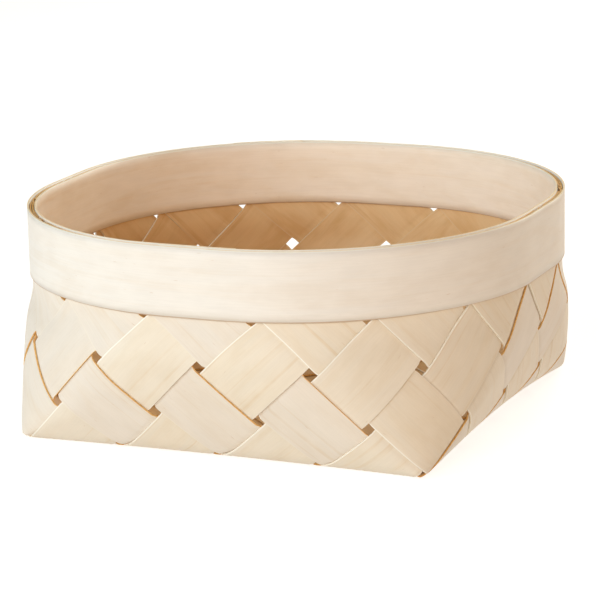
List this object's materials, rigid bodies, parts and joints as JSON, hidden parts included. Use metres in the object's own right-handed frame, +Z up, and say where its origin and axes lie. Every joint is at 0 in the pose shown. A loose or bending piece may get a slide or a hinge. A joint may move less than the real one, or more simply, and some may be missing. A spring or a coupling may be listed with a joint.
{
  "type": "bread basket",
  "caption": "Diagonally plaited birch veneer bread basket with a square base, rounded rim and smooth glued rim bands.",
  "frame": {"origin": "the surface it stands on, under the middle of the square base", "axes": "+Z up, X and Y along the sides of the square base, +Y along the slightly longer way across the rim"},
  "size_m": [0.2468, 0.256, 0.1045],
  "materials": {
    "strip_a": "satin",
    "strip_b": "satin",
    "rim_band": "satin"
  },
  "bodies": {
    "root": {"veneer_strip_a1": "strip_a", "veneer_strip_a2": "strip_a", "veneer_strip_a3": "strip_a", "veneer_strip_a4": "strip_a", "veneer_strip_a5": "strip_a", "veneer_strip_a6": "strip_a", "veneer_strip_a7": "strip_a", "veneer_strip_a8": "strip_a", "veneer_strip_b1": "strip_b", "veneer_strip_b2": "strip_b", "veneer_strip_b3": "strip_b", "veneer_strip_b4": "strip_b", "veneer_strip_b5": "strip_b", "veneer_strip_b6": "strip_b", "veneer_strip_b7": "strip_b", "veneer_strip_b8": "strip_b", "outer_rim_band": "rim_band", "inner_rim_band": "rim_band"}
  },
  "joints": []
}
